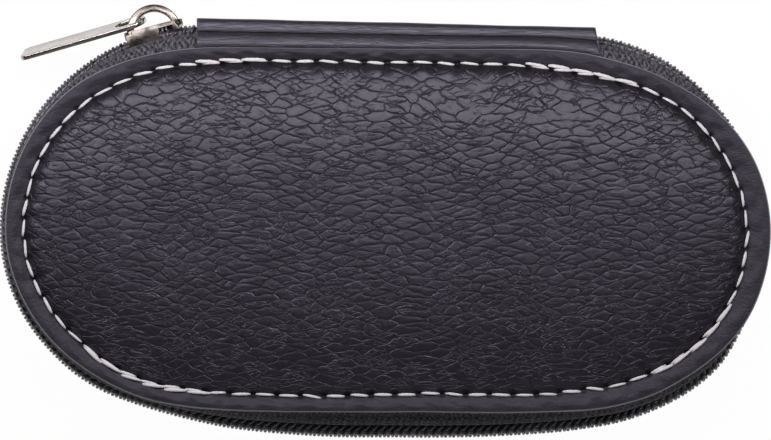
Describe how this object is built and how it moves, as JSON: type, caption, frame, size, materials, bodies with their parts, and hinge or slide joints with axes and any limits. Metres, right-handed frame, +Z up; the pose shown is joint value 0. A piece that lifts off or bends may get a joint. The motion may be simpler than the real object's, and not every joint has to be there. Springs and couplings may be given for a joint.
{
  "type": "manicure set case",
  "caption": "Padded black leather zip-around case with a folding spine, holding a small manicure set under an elastic band.",
  "frame": {"origin": "middle of the flat face that the case rests on", "axes": "+X along the case's length, +Y towards the spine, +Z up from the resting face to the lid"},
  "size_m": [0.1194, 0.0678, 0.023],
  "materials": {
    "cover_leather": "pebbled PU leather, satin",
    "padding": "grey PU foam",
    "board": "grey-brown paperboard",
    "lining": "brushed velvet",
    "white_thread": "twisted polyester thread",
    "zip_tape": "woven polyester tape",
    "zip_coil": "nylon monofilament",
    "elastic": "ribbed elastic webbing",
    "zip_nickel": "nickel-plated zinc",
    "tool_steel": "polished stainless steel",
    "file_handle": "moulded black handle"
  },
  "bodies": {
    "base": {"base_cover": "cover_leather", "base_padding": "padding", "base_board": "board", "base_lining": "lining", "base_stitching": "white_thread", "lower_zip_tape": "zip_tape", "lower_zip_coil": "zip_coil", "spine_lower_leaf": "cover_leather", "tool_band": "elastic", "band_stitching": "white_thread"},
    "spine": {"spine_back": "cover_leather", "spine_lining": "lining"},
    "lid": {"lid_cover": "cover_leather", "lid_padding": "padding", "lid_board": "board", "lid_lining": "lining", "lid_stitching": "white_thread", "upper_zip_tape": "zip_tape", "upper_zip_coil": "zip_coil", "spine_upper_leaf": "cover_leather"},
    "zip_slider": {"slider_body": "zip_nickel", "slider_bail": "zip_nickel"},
    "zip_pull": {"pull_tab": "zip_nickel"},
    "nail_file": {"file_blade": "tool_steel", "file_handle": "file_handle"},
    "pusher": {"cuticle_pusher": "tool_steel"},
    "tweezer_pair": {"tweezers": "tool_steel"},
    "nail_clipper": {"clipper_lower_leaf": "tool_steel", "clipper_upper_leaf": "tool_steel", "clipper_rivet": "tool_steel", "clipper_pin": "tool_steel"},
    "clipper_handle": {"clipper_lever": "tool_steel"}
  },
  "joints": [
    {"name": "lid_fold", "type": "hinge", "parent": "spine", "child": "lid", "pos_m": [0, 0.0318, 0.0145], "axis": [-1, 0, 0], "range_deg": [0, 90], "deforming": ["upper_zip_coil"]},
    {"name": "spine_fold", "type": "hinge", "parent": "base", "child": "spine", "pos_m": [0, 0.0318, 0.0085], "axis": [-1, 0, 0], "range_deg": [0, 90]},
    {"name": "zip_slide", "type": "hinge", "parent": "base", "child": "zip_slider", "pos_m": [-0.0276, 0, 0.0115], "axis": [0, 0, 1], "range_deg": [0, 75], "deforming": ["lower_zip_coil", "upper_zip_coil"]},
    {"name": "pull_swing", "type": "hinge", "parent": "zip_slider", "child": "zip_pull", "pos_m": [-0.03595, 0.03115, 0.0115], "axis": [0, 0, 1], "range_deg": [-58, 0]},
    {"name": "file_slide", "type": "slide", "parent": "base", "child": "nail_file", "axis": [1, 0, 0], "range_m": [-0.002, 0.008]},
    {"name": "pusher_slide", "type": "slide", "parent": "base", "child": "pusher", "axis": [1, 0, 0], "range_m": [-0.006, 0.01]},
    {"name": "tweezers_slide", "type": "slide", "parent": "base", "child": "tweezer_pair", "axis": [1, 0, 0], "range_m": [-0.008, 0.012]},
    {"name": "clipper_slide", "type": "slide", "parent": "base", "child": "nail_clipper", "axis": [1, 0, 0], "range_m": [-0.001, 0.025]},
    {"name": "lever_lift", "type": "hinge", "parent": "nail_clipper", "child": "clipper_handle", "pos_m": [-0.032, -0.0165, 0.0109], "axis": [0, -1, 0], "range_deg": [-0.4, 2.5]}
  ],
  "couplings": [
    {"joint": "spine_fold", "follows": "lid_fold", "ratio": 1}
  ]
}
